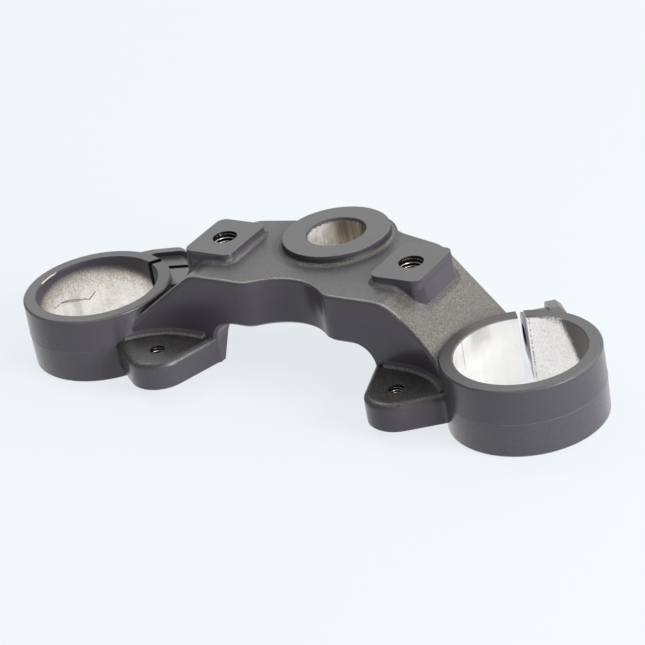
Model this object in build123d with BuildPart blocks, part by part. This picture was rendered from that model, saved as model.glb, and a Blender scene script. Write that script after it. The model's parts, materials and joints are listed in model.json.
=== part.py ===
import math
import os

from build123d import *

# Motorcycle triple clamp (upper fork yoke), one aluminium casting, in millimetres.
# Origin: steering stem axis, on the seat face under the stem boss. +Z up, forks ahead at -Y.

# Fork clamps
fork_spacing = 196.0  # between the two fork axes
fork_offset = 35.0  # fork axes ahead of the stem axis
fork_bore = 50.0
clamp_wall = 5.6
clamp_height = 27.8
clamp_drop = 24.0  # clamp bottom below the stem seat
clamp_edge = 0.6  # chamfer on the clamp's turned edges
clamp_draft = 0.8  # degrees, both ways from the parting line at mid height

# Pinch slot and lug behind each clamp
slot_bearing = 128.0  # direction of the right slot, degrees from +X
slot_offset = 5.1  # middle of the slot from the fork axis, towards the free side
slot_width = 3.0
lug_reach = 43.5  # fork axis to the end of the lug, along the slot
lug_step = 4.0  # lug top below the clamp top, at the clamp wall
lug_fall = 3.3  # further fall of the lug top out to its end
lug_corner = 5.0
lug_foot = 3.8  # lug underside above the clamp bottom
lug_depth = 17.0  # body side of the lug, from the slot
pinch_reach = 37.5  # fork axis to the pinch bolt axis, along the slot
pinch_clearance = 9.0  # through hole on the free side
pinch_height = 12.8  # pinch bolt axis above the clamp bottom
pinch_thread = 8.0  # tapped hole on the body side, nominal
pinch_thread_depth = 16.0  # from the slot into the body
head_boss_start = 11.5  # bolt head boss, from the slot
head_boss_length = 5.8
head_boss_rise = 2.0
head_seat = 14.0  # counterbore for the bolt head
head_seat_depth = 3.0
head_boss_edge = 1.8  # chamfer

# Steering stem boss
stem_bore = 23.4
boss_diameter = 43.0
boss_rise = 3.7  # boss and pad faces above the bridge
boss_fillet = 2.5
stem_back_radius = 24.0  # outer wall behind the boss
stem_hub = 40.0  # solid hub round the bore, under the bridge
stem_seat = 34.0  # seat face cut into the underside of the hub
bore_chamfer = 0.5  # upper mouth of the stem and fork bores

# Bridge
bridge_thickness = 19.3  # above the stem seat
skirt = 0.9  # walls and hub below the stem seat
front_reach = 42.0  # stem axis to the flat front wall
back_reach = 18.5  # where the back walls would cross the centre plane
back_blend = 16.0
scallop_radius = 24.0
scallop_depth = 8.1
scallop_runout = 9.0
edge_radius = 1.6  # rounded upper edges of the casting
lower_edge = 1.2  # chamfer on the lower edge of the front wall

# Arms
knee_x = 44.0  # the arms fall away from here
knee_radius = 12.0
arm_step = 2.2  # clamp top above the arm where they meet
flare_radius = 31.0  # the front wall turns along this into the clamp wall
haunch_x = 34.0  # the underside falls away from here
arm_floor = 19.4  # arm and ear bottoms below the stem seat

# Front legs, which carry the ears
leg_x = 36.9  # inner wall of the leg
leg_fall = 8.0  # fall of the leg's upper side, which the arm covers, out to the fork axis
leg_arch = 9.0  # arch radius between bridge and leg
leg_back = 28.2  # back of the leg ahead of the stem axis, at seat height
leg_lean = 26.5  # lean of the leg's back wall, degrees

# Ears
ear_hole_x = 55.2
ear_hole_y = -56.4
ear_thread = 6.0  # tapped hole in the ear, nominal
ear_top = 7.8  # below the stem seat
ear_lobe = 12.6  # radius of the ear's round end
ear_bearing = 225.0  # where the ear's outer edge meets the right clamp, round the fork axis
ear_edge = 2.6  # worn upper edge
ear_root_slope = 2.0  # sloped foot where the ear's top meets the leg
ear_lower_edge = 0.5  # chamfer

# Handlebar pads
pad_x = 43.2
pad_y = -15.4
pad_width = 22.0
pad_length = 28.0
pad_corner = 3.5
pad_draft = 5.0
pad_foot = 1.5  # sloped foot round the pad
pad_thread = 10.0  # tapped hole for the riser bolt, nominal
pad_thread_depth = 20.0
pad_boss = 19.0  # boss under the pad that carries the thread

# Hollow underside
body_wall = 6.0
arm_back_inset = 3.7  # where the arm's back wall meets the lug's end, from the slot
roof = 6.0
rib = 5.0

# Places worked out from the sizes above
fork_x = fork_spacing / 2
clamp_radius = fork_bore / 2 + clamp_wall
clamp_middle = fork_bore / 2 + clamp_wall / 2
clamp_top = clamp_height - clamp_drop
boss_top = bridge_thickness + boss_rise
lug_level = clamp_top - lug_step
lug_floor = lug_foot - clamp_drop
arm_fall = (bridge_thickness - clamp_top + arm_step) / (fork_x - clamp_radius - knee_x)
arm_foot_x = knee_x + (bridge_thickness + arm_floor) / arm_fall
reach = fork_spacing  # longer than any cut has to be

fork_axis = Vector(fork_x, -fork_offset)
slot_way = Vector(1, 0).rotate(Axis.Z, slot_bearing)
slot_side = Vector(slot_way.Y, -slot_way.X)
slot_start = fork_axis + slot_side * slot_offset
# Section plane of the lug: X runs out along the slot, Y up, the normal towards the free side
slot_plane = Plane(origin=slot_start, x_dir=slot_way, z_dir=slot_side)

# The front wall's arc runs on a little inside the clamp wall
flare_root = clamp_radius - clamp_edge
flare_drop = front_reach + flare_radius - fork_offset
flare_x = fork_x - math.sqrt((flare_root + flare_radius) ** 2 - flare_drop**2)
flare_center = Vector(flare_x, -front_reach - flare_radius)
arm_front_end = fork_axis + (flare_center - fork_axis).normalized() * flare_root
ear_root = fork_axis + Vector(clamp_middle, 0).rotate(Axis.Z, ear_bearing)
arm_back_end = slot_start + slot_way * lug_reach - slot_side * arm_back_inset


def arm_height(x):
    """Height of the casting's upper side at a distance from the centre plane."""
    return min(bridge_thickness, bridge_thickness - arm_fall * (x - knee_x))


def cut_bore(center, radius, bottom, top):
    """Cut an upright bore with a chamfered upper mouth through the part in hand."""
    with BuildSketch(Plane(origin=center, x_dir=(1, 0, 0), z_dir=(0, -1, 0))) as profile:
        with BuildLine():
            Polyline(
                (0, bottom),
                (radius, bottom),
                (radius, top - bore_chamfer),
                (radius + bore_chamfer, top),
                (0, top),
                close=True,
            )
        make_face()
    revolve(profile.sketch, axis=Axis(center, (0, 0, 1)), mode=Mode.SUBTRACT)


# Outline of the right half, seen from above
with BuildSketch() as plan:
    with BuildLine():
        front_wall = Line((0, -front_reach), (flare_x, -front_reach))
        flare = TangentArc(front_wall @ 1, arm_front_end, tangent=front_wall % 1)
        Polyline(flare @ 1, fork_axis, arm_back_end, (0, back_reach), front_wall @ 0)
    make_face()
    Circle(stem_back_radius)
    Rectangle(reach, reach, align=(Align.MAX, Align.CENTER), mode=Mode.SUBTRACT)
    with Locations((0, scallop_depth - front_reach - scallop_radius)):
        Circle(scallop_radius, mode=Mode.SUBTRACT)
    runout = plan.vertices().filter_by(lambda v: abs(v.Y + front_reach) < 0.01).sort_by(Axis.X)[0]
    fillet(runout, scallop_runout)
    waist = plan.vertices().filter_by(
        lambda v: v.X > 1 and v.Y > 0 and abs(math.hypot(v.X, v.Y) - stem_back_radius) < 0.01
    )
    fillet(waist, back_blend)

# Handlebar pad
with BuildPart() as pad:
    pad_height = boss_top - arm_height(pad_x + pad_width / 2) + roof
    pad_spread = pad_height * math.tan(math.radians(pad_draft))
    with BuildSketch(Plane.XY.offset(boss_top)):
        with Locations((pad_x, pad_y)):
            RectangleRounded(pad_width, pad_length, pad_corner)
    with BuildSketch(Plane.XY.offset(boss_top - pad_height)):
        with Locations((pad_x, pad_y)):
            RectangleRounded(
                pad_width + 2 * pad_spread, pad_length + 2 * pad_spread, pad_corner + pad_spread
            )
    loft(ruled=True)

# Bridge and arm, before hollowing
with BuildPart() as arm:
    extrude(plan.sketch, amount=reach, both=True)
    with BuildSketch(Plane.XZ):
        with BuildLine():
            Polyline(
                (0, -skirt),
                (0, bridge_thickness),
                (knee_x, bridge_thickness),
                (arm_foot_x, -arm_floor),
                (fork_x - clamp_radius, -arm_floor),
                (haunch_x, -skirt),
                close=True,
            )
        section = make_face()
        fillet(section.vertices().sort_by_distance((knee_x, bridge_thickness))[0], knee_radius)
    extrude(amount=reach, both=True, mode=Mode.INTERSECT)
    rim = (
        arm.edges()
        .filter_by(Axis.Y, reverse=True)
        .filter_by(lambda e: (e @ 0.5).X > 0.01 and abs((e @ 0.5).Z - arm_height((e @ 0.5).X)) < 1)
        .filter_by(lambda e: (Vector((e @ 0.5).X, (e @ 0.5).Y) - fork_axis).length > clamp_radius)
    )
    fillet(rim, edge_radius)
    lower_rim = arm.edges().filter_by(
        lambda e: (e @ 0.5).Y < -stem_back_radius and abs((e @ 0.5).Z + skirt) < 0.01
    )
    chamfer(lower_rim, lower_edge)
    add(pad.part)
    chamfer(arm.edges(Select.NEW), pad_foot)

# Front leg under the arm
with BuildPart() as leg:
    extrude(plan.sketch, amount=reach, both=True)
    with BuildSketch(Plane.XZ):
        with BuildLine():
            arch = RadiusArc((leg_x - leg_arch, -skirt), (leg_x, -skirt - leg_arch), leg_arch)
            Polyline(
                arch @ 1,
                (leg_x, -arm_floor),
                (fork_x, -arm_floor),
                (fork_x, lug_level - leg_fall),
                (leg_x, lug_level),
                (leg_x - leg_arch, edge_radius),
                arch @ 0,
            )
        make_face()
    extrude(amount=reach, both=True, mode=Mode.INTERSECT)
    back_wall = Plane(origin=(0, -leg_back, 0), z_dir=(0, -1, 0)).rotated((-leg_lean, 0, 0))
    split(bisect_by=back_wall, keep=Keep.TOP)
    inner_edge = leg.edges().filter_by(
        lambda e: abs((e @ 0.5).Y + front_reach) < 0.01
        and (e @ 0.5).X < leg_x + 0.01
        and (e @ 0.5).Z < -skirt
    )
    chamfer(inner_edge, lower_edge)

# Ear in front of the leg
with BuildPart() as ear:
    with BuildSketch(Plane.XY.offset(-arm_floor)):
        with Locations((ear_hole_x, ear_hole_y)):
            Circle(ear_lobe)
        Polygon(
            (leg_x, lower_edge - front_reach),
            (leg_x + body_wall, -front_reach + body_wall / 2),
            (fork_x - clamp_middle, -front_reach),
            ear_root,
            align=None,
        )
        make_hull()
    extrude(amount=arm_floor - ear_top)
    outside = ear.edges().filter_by(lambda e: (e @ 0.5).Y < -front_reach - edge_radius)
    fillet(outside.group_by(Axis.Z)[-1], ear_edge)
    chamfer(outside.group_by(Axis.Z)[0], ear_lower_edge)

# Sloped foot of the front wall, along the ear's root on the flat of the ear
with BuildPart() as ear_blend:
    with BuildLine() as root:
        drop = Vector(0, 0, -ear_top)
        run = Line(Vector(leg_x, -front_reach) + drop, Vector(flare_x, -front_reach) + drop)
        turn = TangentArc(run @ 1, arm_front_end + drop, tangent=run % 1)
        clamp_foot = fork_axis + (ear_root - fork_axis).normalized() * flare_root
        TangentArc(turn @ 1, clamp_foot + drop, tangent=turn % 1)
    with BuildSketch(Plane(origin=root.line @ 0, x_dir=(0, -1, 0), z_dir=(-1, 0, 0))):
        Polygon(
            (0, ear_root_slope),
            (ear_root_slope, 0),
            (ear_root_slope, -ear_root_slope),
            (-ear_root_slope, -ear_root_slope),
            (-ear_root_slope, ear_root_slope),
            align=None,
        )
    sweep(path=root.line)
    with BuildSketch(Plane.XY.offset(-arm_floor)):
        with Locations((ear_hole_x, ear_hole_y)):
            Circle(ear_lobe - ear_edge)
        Polygon(
            (leg_x + ear_edge + ear_root_slope, -leg_back),
            (leg_x + ear_edge + ear_root_slope, -front_reach),
            arm_front_end + (0, ear_root_slope / 2),
            (fork_x - clamp_middle, -leg_back),
            align=None,
        )
        make_hull()
    extrude(amount=arm_floor, mode=Mode.INTERSECT)

# Pinch lug behind the clamp, with the bolt head's boss at its free end
with BuildPart() as lug:
    with BuildSketch(slot_plane.offset(-lug_depth)):
        with BuildLine():
            Polyline(
                (0, lug_floor),
                (lug_reach, lug_floor),
                (lug_reach, lug_level - lug_fall),
                (clamp_radius, lug_level),
                (0, lug_level),
                close=True,
            )
        block = make_face()
        fillet(block.vertices().filter_by(lambda v: v.X > clamp_radius), lug_corner)
    extrude(amount=lug_depth + head_boss_start)
    with BuildSketch(slot_plane.offset(head_boss_start)):
        with BuildLine():
            Polyline(
                (0, lug_floor - head_boss_rise),
                (lug_reach + head_boss_rise, lug_floor - head_boss_rise),
                (lug_reach + head_boss_rise, lug_level - lug_fall + head_boss_rise),
                (clamp_radius, lug_level + head_boss_rise),
                (0, lug_level + head_boss_rise),
                close=True,
            )
        block = make_face()
        fillet(block.vertices().filter_by(lambda v: v.X > clamp_radius), lug_corner + head_boss_rise)
    extrude(amount=head_boss_length)
    end_edges = lug.edges().group_by(Axis((0, 0, 0), slot_side))[-1]
    outer = end_edges.filter_by(lambda e: slot_plane.to_local_coords(e @ 0.5).X > clamp_radius)
    chamfer(outer, head_boss_edge)

# Fork clamp ring
with BuildPart() as clamp:
    with BuildSketch(Plane(origin=fork_axis, x_dir=(1, 0, 0), z_dir=(0, -1, 0))) as ring:
        with BuildLine():
            swell = clamp_height / 2 * math.tan(math.radians(clamp_draft))
            Polyline(
                (0, -clamp_drop),
                (clamp_radius - clamp_edge, -clamp_drop),
                (clamp_radius, clamp_edge - clamp_drop),
                (clamp_radius + swell, clamp_height / 2 - clamp_drop),
                (clamp_radius, clamp_top - clamp_edge),
                (clamp_radius - clamp_edge, clamp_top),
                (0, clamp_top),
                close=True,
            )
        make_face()
    revolve(ring.sketch, axis=Axis(fork_axis, (0, 0, 1)))
    add(lug.part)

# Space to leave open under the bridge and arm, between the walls, bosses and ribs
with BuildSketch() as whole_plan:
    add(plan.sketch)
    mirror(about=Plane.YZ)
with BuildSketch() as hollow_plan:
    add(whole_plan.sketch)
    offset(amount=-body_wall, mode=Mode.REPLACE)
    Rectangle(reach, reach, align=(Align.MAX, Align.CENTER), mode=Mode.SUBTRACT)
    Rectangle(rib, reach, mode=Mode.SUBTRACT)
    Circle(stem_hub / 2, mode=Mode.SUBTRACT)
    with Locations((pad_x, pad_y)):
        Circle(pad_boss / 2, mode=Mode.SUBTRACT)
        Rectangle(rib, reach, mode=Mode.SUBTRACT)
        fork_way = math.degrees(math.atan2(-fork_offset, fork_x))
        Rectangle(reach, rib, rotation=fork_way, mode=Mode.SUBTRACT)
    with Locations(fork_axis):
        Circle(clamp_radius, mode=Mode.SUBTRACT)
    with Locations(slot_start):
        corner = (Align.MIN, Align.MIN)
        Rectangle(reach, lug_depth, rotation=slot_bearing, align=corner, mode=Mode.SUBTRACT)

with BuildPart() as hollow:
    extrude(hollow_plan.sketch, amount=reach, both=True)
    with BuildSketch(Plane.XZ):
        slant = math.hypot(1, arm_fall)
        roof_knee = knee_x - roof * (slant - 1) / arm_fall
        with BuildLine():
            Polyline(
                (0, -reach),
                (0, bridge_thickness - roof),
                (roof_knee, bridge_thickness - roof),
                (fork_x, bridge_thickness - arm_fall * (fork_x - knee_x) - roof * slant),
                (fork_x, -reach),
                close=True,
            )
        make_face()
    extrude(amount=reach, both=True, mode=Mode.INTERSECT)

# The right half as one casting, then what is machined in it
with BuildPart() as half:
    add(arm.part)
    add(hollow.part, mode=Mode.SUBTRACT)
    add(leg.part)
    add(ear.part)
    add(ear_blend.part)
    add(clamp.part)
    cut_bore((fork_x, -fork_offset), fork_bore / 2, -clamp_drop, clamp_top)
    with BuildSketch(slot_plane):
        Rectangle(reach, reach, align=(Align.MIN, Align.CENTER))
    extrude(amount=slot_width / 2, both=True, mode=Mode.SUBTRACT)
    with BuildSketch(slot_plane):
        with Locations((pinch_reach, pinch_height - clamp_drop)):
            Circle(pinch_clearance / 2)
    extrude(amount=reach, mode=Mode.SUBTRACT)
    with BuildSketch(slot_plane):
        with Locations((pinch_reach, pinch_height - clamp_drop)):
            Circle(pinch_thread / 2)
    extrude(amount=-pinch_thread_depth, mode=Mode.SUBTRACT)
    with BuildSketch(slot_plane.offset(head_boss_start + head_boss_length - head_seat_depth)):
        with Locations((pinch_reach, pinch_height - clamp_drop)):
            Circle(head_seat / 2)
    extrude(amount=reach, mode=Mode.SUBTRACT)
    with Locations((ear_hole_x, ear_hole_y, -ear_top)):
        Hole(ear_thread / 2, depth=arm_floor - ear_top)
    with Locations((pad_x, pad_y, boss_top)):
        Hole(pad_thread / 2, depth=pad_thread_depth)

# The whole casting, with the stem boss
with BuildPart() as triple_clamp:
    add(half.part)
    mirror(about=Plane.YZ)
    with BuildSketch(Plane.XZ):
        boss_radius = boss_diameter / 2
        with BuildLine():
            foot = RadiusArc(
                (boss_radius, bridge_thickness + boss_fillet),
                (boss_radius + boss_fillet, bridge_thickness),
                -boss_fillet,
            )
            Polyline(
                foot @ 1,
                (0, bridge_thickness),
                (0, boss_top),
                (boss_radius, boss_top),
                foot @ 0,
            )
        make_face()
    revolve(axis=Axis.Z)
    cut_bore((0, 0), stem_bore / 2, -skirt, boss_top)
    Cylinder(stem_seat / 2, skirt, align=(Align.CENTER, Align.CENTER, Align.MAX), mode=Mode.SUBTRACT)

os.makedirs("parts", exist_ok=True)
triple_clamp.part.label = "triple_clamp"
export_step(triple_clamp.part, "parts/triple_clamp.step")
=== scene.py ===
# %% [markdown]
# # An upper fork yoke, dressed for the studio
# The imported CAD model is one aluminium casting: a bridge with a stem boss and two bar pads, two
# sloping arms, and a split clamp at each end. This lesson keeps that shape and gives it the looks of
# the real thing: a satin black coat over cast skin, bare bored metal, cut threads and small marks.

# %% Load the casting
import json
import math

import bpy
import numpy as np
from mathutils import Matrix, Vector

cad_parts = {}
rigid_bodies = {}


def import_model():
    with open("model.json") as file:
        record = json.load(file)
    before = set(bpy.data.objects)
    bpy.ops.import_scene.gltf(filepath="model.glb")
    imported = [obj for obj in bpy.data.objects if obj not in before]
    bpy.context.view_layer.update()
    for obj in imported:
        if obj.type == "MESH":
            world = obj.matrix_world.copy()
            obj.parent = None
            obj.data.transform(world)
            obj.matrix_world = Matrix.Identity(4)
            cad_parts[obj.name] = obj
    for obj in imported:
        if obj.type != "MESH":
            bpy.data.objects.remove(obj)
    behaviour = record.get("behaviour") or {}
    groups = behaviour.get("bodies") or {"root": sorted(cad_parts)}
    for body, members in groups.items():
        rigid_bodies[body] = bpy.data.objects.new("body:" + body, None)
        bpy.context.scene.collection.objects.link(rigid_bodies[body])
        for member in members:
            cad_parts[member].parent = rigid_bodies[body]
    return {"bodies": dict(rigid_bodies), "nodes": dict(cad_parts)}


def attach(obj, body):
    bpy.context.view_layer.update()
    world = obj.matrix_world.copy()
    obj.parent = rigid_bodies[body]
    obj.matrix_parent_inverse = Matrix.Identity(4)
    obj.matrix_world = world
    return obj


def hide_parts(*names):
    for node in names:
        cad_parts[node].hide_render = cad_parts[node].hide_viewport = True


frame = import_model()
framework = list(frame["nodes"].values()) + list(frame["bodies"].values())
for stray in [o for o in bpy.data.objects if o not in framework]:
    bpy.data.objects.remove(stray)
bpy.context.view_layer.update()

# %% [markdown]
# ## Sizes shared with the CAD part
# Finishes change from place to place: bright inside a bore, smooth on a machined face, grainy on
# cast skin. They are told apart by where they lie, so the sizes that place them are repeated here.

# %% Sizes in millimetres
MM = 0.001
fork_x, fork_y, fork_radius = 98.0, -35.0, 25.0
clamp_top, clamp_bottom, clamp_radius = 3.8, -24.0, 30.6
parting_z, parting_radius = -10.1, 30.8
stem_radius, boss_top, bridge_top = 11.7, 23.0, 19.3
mouth_chamfer = 0.5
pad_x, pad_y, pad_hole_radius, pad_hole_depth = 43.2, -15.4, 5.0, 20.0
pad_width, pad_length = 22.0, 28.0
ear_x, ear_y, ear_hole_radius, ear_top, ear_bottom = 55.2, -56.4, 3.0, -7.8, -19.4
slot_bearing, slot_offset, slot_half = math.radians(128.0), 5.1, 1.5
pinch_reach, pinch_z, pinch_hole_radius, pinch_hole_end = 37.5, -11.2, 4.0, 16.0
slot_way = Vector((math.cos(slot_bearing), math.sin(slot_bearing), 0))
slot_side = Vector((slot_way.y, -slot_way.x, 0))
slot_start = Vector((fork_x, fork_y, 0)) + slot_side * slot_offset
print("fork spacing and offset, mm:", 2 * fork_x, -fork_y)

# %% [markdown]
# ## Camera
# A photograph fixes where its camera stood. The place, the turn and the lens were solved from the
# round clamp rings, so the camera is set by numbers and not by eye.


# %% Camera
def linked(name, data):
    """A new object in the scene."""
    made = bpy.data.objects.new(name, data)
    bpy.context.scene.collection.objects.link(made)
    return made


CAMERA_AT = Vector((533.99, -742.28, 465.66)) * MM
azimuth, elevation, roll = (math.radians(a) for a in (36.466, 27.775, -10.366))
flat = math.cos(elevation)
away = Vector((math.sin(azimuth) * flat, -math.cos(azimuth) * flat, math.sin(elevation)))
level_right = Vector((math.cos(azimuth), math.sin(azimuth), 0))
upright = away.cross(level_right)
across = level_right * math.cos(roll) + upright * math.sin(roll)
above = upright * math.cos(roll) - level_right * math.sin(roll)
camera_data = bpy.data.cameras.new("photo_view")
camera_data.sensor_width, camera_data.lens = 36.0, 143.79
camera_data.clip_start, camera_data.clip_end = 0.01, 50.0
camera = linked("photo_view", camera_data)
facing_part = Matrix((across, above, away)).transposed().to_4x4()
camera.matrix_world = Matrix.Translation(CAMERA_AT) @ facing_part
bpy.context.scene.camera = camera
print("camera distance, mm:", round(camera.location.length / MM))

# %% [markdown]
# ## Node helpers
# Every finish below is a tree of shader nodes. Short helpers keep those trees readable: they add a
# node, feed its sockets with numbers or links, do arithmetic and read places on the part. The nodes
# could be placed by hand in the editor, but a script can name each step and repeat it.


# %% Nodes and numbers
def add(tree, kind, **settings):
    """A new node in the tree, with its properties set."""
    node = tree.nodes.new(kind)
    for name, value in settings.items():
        setattr(node, name, value)
    return node


def feed(tree, socket, value):
    """Link another node's output to this socket, or write a plain value in it."""
    if isinstance(value, bpy.types.NodeSocket):
        tree.links.new(value, socket)
    else:
        socket.default_value = value


def dress(tree, node, inputs):
    """Feed several sockets of a node, by name or number."""
    for key, value in inputs.items():
        feed(tree, node.inputs[key], value)


def step(tree, kind, inputs, **settings):
    """A new node with its sockets fed; gives its outputs."""
    node = add(tree, kind, **settings)
    dress(tree, node, inputs)
    return node.outputs


def calc(tree, operation, *terms, clamp=False):
    """One Math node. Each term is a number or another node's output."""
    inputs = dict(enumerate(terms))
    return step(tree, "ShaderNodeMath", inputs, operation=operation, use_clamp=clamp)[0]


def times(tree, first, *others):
    """The product of several numbers or outputs."""
    for other in others:
        first = calc(tree, "MULTIPLY", first, other)
    return first


print("number helpers ready")


# %% Patterns and places
def ramp(tree, value, start, end):
    """0 before start and 1 past end, eased between them. Start may be the larger one."""
    inputs = {"Value": value, "From Min": start, "From Max": end}
    return step(tree, "ShaderNodeMapRange", inputs, interpolation_type="SMOOTHSTEP")["Result"]


def noise(tree, place, scale, detail=3.0, roughness=0.6, stretch=None):
    """Soft random values over the surface; stretch squeezes the pattern along some axes."""
    if stretch:
        place = step(tree, "ShaderNodeMapping", {"Vector": place, "Scale": stretch})["Vector"]
    inputs = {"Vector": place, "Scale": scale, "Detail": detail, "Roughness": roughness}
    return step(tree, "ShaderNodeTexNoise", inputs)["Fac"]


def vector_calc(tree, operation, inputs):
    """One Vector Math node; gives its outputs."""
    return step(tree, "ShaderNodeVectorMath", inputs, operation=operation)


def millimetres(tree):
    """Object coordinates in millimetres."""
    place = add(tree, "ShaderNodeTexCoord").outputs["Object"]
    return vector_calc(tree, "SCALE", {0: place, "Scale": 1 / MM})["Vector"]


def axes(tree, vector):
    """The X, Y and Z of a vector."""
    return step(tree, "ShaderNodeSeparateXYZ", {0: vector})


print("place helpers ready")

# %% [markdown]
# ## Shared effects
# Two things turn up in several finishes. Cast skin has a fine grain that shows through the coat, and
# the clamps need to know how far a point is from its fork axis, how deep it lies and on which side.
# Each could be built again in every material. A shader group is built once instead, and placed
# where it is needed.


# %% Group helpers
def open_tree(tree, inputs, outputs=()):
    """Add named number inputs and outputs; gives the tree, its inputs and its end node."""
    for socket, value in inputs.items():
        made = tree.interface.new_socket(socket, in_out="INPUT", socket_type="NodeSocketFloat")
        made.default_value = value
    for socket in outputs:
        tree.interface.new_socket(socket, in_out="OUTPUT", socket_type="NodeSocketFloat")
    return tree, add(tree, "NodeGroupInput").outputs, add(tree, "NodeGroupOutput")


def group(name, inputs, outputs):
    """An empty shader group."""
    return open_tree(bpy.data.node_groups.new(name, "ShaderNodeTree"), inputs, outputs)


print("group helpers ready")

# %% Cast grain group
PITS_PER_GRAIN, PIT_RIM = 0.6, 0.5
HOLLOW_TO_TIP, CLOUDS = (0.36, 0.66), 0.045
cast_grain, given, result = group("cast_grain", {"Grain": 1.6, "Pits": 0.35}, ("Height", "Tone", "Cloud"))
tree = cast_grain
place = millimetres(tree)
grains = noise(tree, place, scale=given["Grain"], roughness=0.62)
pits = {"Vector": place, "Scale": times(tree, given["Grain"], PITS_PER_GRAIN)}
pits = step(tree, "ShaderNodeTexVoronoi", pits)["Distance"]
dips = times(tree, ramp(tree, pits, 0.0, PIT_RIM), given["Pits"])
height, tone = calc(tree, "ADD", grains, dips), ramp(tree, grains, *HOLLOW_TO_TIP)
cloud = noise(tree, place, scale=CLOUDS, roughness=0.5)
dress(tree, result, {"Height": height, "Tone": tone, "Cloud": cloud})
print("shared group:", cast_grain.name)

# %% Fork place group
fork_place, given, result = group("fork_place", {}, ("Reach", "Outer", "Back", "Below", "Right"))
tree = fork_place
at = axes(tree, millimetres(tree))
out = calc(tree, "SUBTRACT", calc(tree, "ABSOLUTE", at["X"]), fork_x)
rear = calc(tree, "SUBTRACT", at["Y"], fork_y)
reach = calc(tree, "SQRT", calc(tree, "MULTIPLY_ADD", out, out, times(tree, rear, rear)))
outer, back = calc(tree, "DIVIDE", out, reach), calc(tree, "DIVIDE", rear, reach)
below, right = calc(tree, "SUBTRACT", clamp_top, at["Z"]), calc(tree, "GREATER_THAN", at["X"], 0.0)
dress(tree, result, {"Reach": reach, "Outer": outer, "Back": back, "Below": below, "Right": right})
print("shared group:", fork_place.name)

# %% [markdown]
# ## Black coat on cast skin
# The yoke is shot-blasted, then coated in thin satin black. Upright walls drew out of the mould and
# are smooth, and the clamp walls, turned before coating, have more gloss than the rest. Level tops
# are an even satin, and the sloping arms are grainy, with the tips of the grain rubbed pale. The low
# ears are painted dark as shade. It could be painted on by hand, but masks made from how far the
# surface looks up and how high it lies also work on every side that the photograph hides.

# %% Coat colours
COAT_WALL = (0.035, 0.031, 0.039, 1)
COAT_CLOUD = (0.043, 0.037, 0.045, 1)
TURNED_WALL = (0.034, 0.032, 0.040, 1)
BOSS_FOOT_SHADE = (0.008, 0.006, 0.007, 1)
SLOPE_DARK = (0.032, 0.030, 0.026, 1)
SLOPE_TIPS = (0.115, 0.109, 0.091, 1)
SATIN_DARK = (0.034, 0.034, 0.034, 1)
SATIN_LIGHT = (0.076, 0.075, 0.072, 1)
# The ear colours are painted dark as shade.
EAR_SHADE_DARK = (0.005, 0.005, 0.005, 1)
EAR_SHADE_TIPS = (0.033, 0.030, 0.027, 1)
# A pale coat colour for painted highlights.
HIGHLIGHT_COAT = (0.26, 0.245, 0.215, 1)
print("coat, from walls to rubbed edges:", COAT_WALL[:3], HIGHLIGHT_COAT[:3])


# %% Finishes and mixes
def finish(name):
    """A new material with one Principled shader; gives the material, its tree and the shader."""
    material = bpy.data.materials.new(name)
    material.use_nodes = True
    tree = material.node_tree
    return material, tree, tree.nodes["Principled BSDF"]


def use(tree, shared, **values):
    """Place a shared group in a material with its own values."""
    return step(tree, "ShaderNodeGroup", values, node_tree=shared)


def most(tree, first, *others):
    """The largest of several numbers or outputs."""
    for other in others:
        first = calc(tree, "MAXIMUM", first, other)
    return first


def rest_of(tree, share):
    """What is left of 1."""
    return calc(tree, "SUBTRACT", 1.0, share)


def window(tree, value, low, high, soft):
    """1 between low and high, eased to 0 over the soft width outside them."""
    return times(tree, ramp(tree, value, low - soft, low), ramp(tree, value, high + soft, high))


def blend(tree, share, first, second):
    """A colour between two others."""
    inputs = {0: share, 6: first, 7: second}
    return step(tree, "ShaderNodeMix", inputs, data_type="RGBA", clamp_factor=True)[2]


def between(tree, share, first, second):
    """A number between two others."""
    inputs = {0: share, 2: first, 3: second}
    return step(tree, "ShaderNodeMix", inputs, data_type="FLOAT", clamp_factor=True)[0]


print("mix helpers ready")


# %% Readings from the part
def surface_normal(tree):
    """Which way the surface faces."""
    return add(tree, "ShaderNodeNewGeometry").outputs["Normal"]


def tilt_of(tree):
    """How far the surface looks up: 0 on upright walls and 1 on level tops."""
    return axes(tree, surface_normal(tree))["Z"]


def height_mm(tree):
    """Height above the stem seat, in millimetres."""
    return axes(tree, millimetres(tree))["Z"]


def from_stem_axis(tree):
    """Distance from the stem axis, in millimetres."""
    flat = vector_calc(tree, "MULTIPLY", {0: millimetres(tree), 1: (1, 1, 0)})["Vector"]
    return vector_calc(tree, "LENGTH", {0: flat})["Value"]


def attribute(tree, name):
    """A value that the mesh itself carries."""
    return add(tree, "ShaderNodeAttribute", attribute_name=name).outputs["Fac"]


print("reading helpers ready")

# %% Coat masks
FINE_GRAIN, COARSE_GRAIN, PIT_DEPTH = 1.9, 1.1, 0.35
WALL_TO_TOP, SLOPE_TO_LEVEL = (0.5, 0.72), (0.9, 0.96)
ROOT_TOP = (ear_top + 1.2, ear_top + 2.3, 0.2)
EAR_TO_ARM = (ear_top + 1.0, ear_top + 2.4)
FOOT_DROP = 1.5
coat_cast, tree, shader = finish("coat_on_cast_skin")
fine = use(tree, cast_grain, Grain=FINE_GRAIN, Pits=PIT_DEPTH)
coarse = use(tree, cast_grain, Grain=COARSE_GRAIN, Pits=PIT_DEPTH)
tilt, high = tilt_of(tree), height_mm(tree)
pad_foot, foot_fade = attribute(tree, "pad_foot"), attribute(tree, "foot_fade")
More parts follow.
